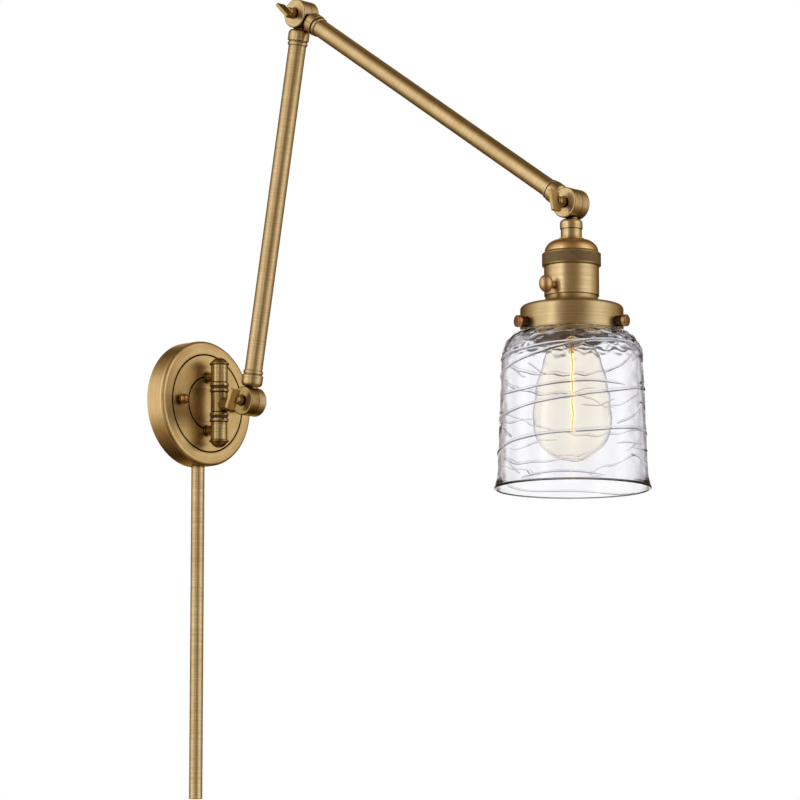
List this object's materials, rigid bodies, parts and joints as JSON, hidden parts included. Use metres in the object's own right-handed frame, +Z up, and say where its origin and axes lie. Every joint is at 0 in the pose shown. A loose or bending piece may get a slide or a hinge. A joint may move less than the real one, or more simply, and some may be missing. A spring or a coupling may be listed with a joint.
{
  "type": "swing arm wall lamp",
  "caption": "Swing arm wall lamp: round wall plate with a cord cover, a swivel post, hinged tube arms with wing keys, and a turn-knob socket with a clear bell glass shade.",
  "frame": {"origin": "on the wall, midway between the wall screws, behind the centre of the wall plate", "axes": "+Z up, -Y straight out from the wall, +X to the right as seen from the room; the arms lie in the plane x = 0 at rest"},
  "size_m": [0.127, 0.497, 0.6838],
  "materials": {
    "antique_brass": "brushed antique brass, lacquered",
    "warm_brass": "polished warm brass",
    "dark_washer": "black fibre",
    "zinc_steel": "zinc plated",
    "wire_insulation": "black insulation",
    "socket_phenolic": "moulded black phenolic",
    "shade_glass": "clear pressed glass with wavy trails",
    "bulb_glass": "clear glass, faint amber tint",
    "stem_glass": "clear glass",
    "filament": "fine golden wire"
  },
  "bodies": {
    "wall_mount": {"wall_plate": "antique_brass", "mounting_bar": "zinc_steel", "plate_studs": "zinc_steel", "ball_nuts": "warm_brass", "post_upper": "antique_brass", "post_lower": "antique_brass", "post_nuts": "zinc_steel", "pivot_rod": "zinc_steel", "post_finials": "warm_brass", "post_washers": "dark_washer", "cord_cover": "antique_brass", "cover_ring": "antique_brass"},
    "swivel": {"swivel_knuckle": "antique_brass", "base_washer": "dark_washer"},
    "lower_arm": {"lower_arm_base_knuckle": "antique_brass", "lower_arm_tube": "antique_brass", "lower_arm_beads": "antique_brass", "lower_arm_wire": "wire_insulation", "lower_arm_elbow_knuckle": "antique_brass", "elbow_washer": "dark_washer"},
    "upper_arm": {"upper_arm_elbow_knuckle": "antique_brass", "upper_arm_tube": "antique_brass", "upper_arm_beads": "antique_brass", "upper_arm_wire": "wire_insulation", "upper_arm_head_knuckle": "antique_brass", "head_washer": "dark_washer"},
    "lamp_head": {"head_knuckle": "antique_brass", "head_nipple": "zinc_steel", "head_coupling": "antique_brass", "socket_cap": "antique_brass", "cap_locknut": "zinc_steel", "knurled_ring": "antique_brass", "socket_shell": "antique_brass", "socket_body": "socket_phenolic", "screw_shell": "antique_brass", "centre_contact": "antique_brass", "fitter_collar": "antique_brass", "fitter": "antique_brass", "clamp_ring": "antique_brass", "glass_shade": "shade_glass", "bulb_base": "antique_brass", "bulb_glass": "bulb_glass", "bulb_stem": "stem_glass", "bulb_filament": "filament"},
    "base_key": {"base_key": "antique_brass"},
    "elbow_key": {"elbow_key": "antique_brass"},
    "head_key": {"head_key": "antique_brass"},
    "switch_knob": {"switch_knob": "warm_brass"},
    "shade_screw_1": {"shade_screw_1": "antique_brass"},
    "shade_screw_2": {"shade_screw_2": "antique_brass"},
    "shade_screw_3": {"shade_screw_3": "antique_brass"}
  },
  "joints": [
    {"name": "post_swivel", "type": "hinge", "parent": "wall_mount", "child": "swivel", "pos_m": [0, -0.0333, -0.0008], "axis": [0, 0, 1], "range_deg": [-55, 75]},
    {"name": "base_tilt", "type": "hinge", "parent": "swivel", "child": "lower_arm", "pos_m": [0, -0.0699, -0.0035], "axis": [-1, 0, 0], "range_deg": [-78, 16]},
    {"name": "elbow_fold", "type": "hinge", "parent": "lower_arm", "child": "upper_arm", "pos_m": [0, -0.13079, 0.32826], "axis": [-1, 0, 0], "range_deg": [-2, 229.8]},
    {"name": "head_tilt", "type": "hinge", "parent": "upper_arm", "child": "lamp_head", "pos_m": [0, -0.43347, 0.12178], "axis": [-1, 0, 0], "range_deg": [-60, 171]},
    {"name": "base_key_turn", "type": "hinge", "parent": "lower_arm", "child": "base_key", "pos_m": [0, -0.0699, -0.0035], "axis": [-1, 0, 0], "range_deg": [0, 360]},
    {"name": "elbow_key_turn", "type": "hinge", "parent": "upper_arm", "child": "elbow_key", "pos_m": [0, -0.13079, 0.32826], "axis": [-1, 0, 0], "range_deg": [0, 360]},
    {"name": "head_key_turn", "type": "hinge", "parent": "lamp_head", "child": "head_key", "pos_m": [0, -0.43347, 0.12178], "axis": [-1, 0, 0], "range_deg": [0, 360]},
    {"name": "switch_turn", "type": "hinge", "parent": "lamp_head", "child": "switch_knob", "pos_m": [0, -0.43347, 0.05218], "axis": [-1, 0, 0], "continuous": true},
    {"name": "shade_screw_1_turn", "type": "hinge", "parent": "lamp_head", "child": "shade_screw_1", "pos_m": [0, -0.43347, 0.02168], "axis": [0.766, 0.6428, 0], "range_deg": [0, 720]},
    {"name": "shade_screw_2_turn", "type": "hinge", "parent": "lamp_head", "child": "shade_screw_2", "pos_m": [0, -0.43347, 0.02168], "axis": [-0.9397, 0.342, 0], "range_deg": [0, 720]},
    {"name": "shade_screw_3_turn", "type": "hinge", "parent": "lamp_head", "child": "shade_screw_3", "pos_m": [0, -0.43347, 0.02168], "axis": [0.1736, -0.9848, 0], "range_deg": [0, 720]}
  ]
}
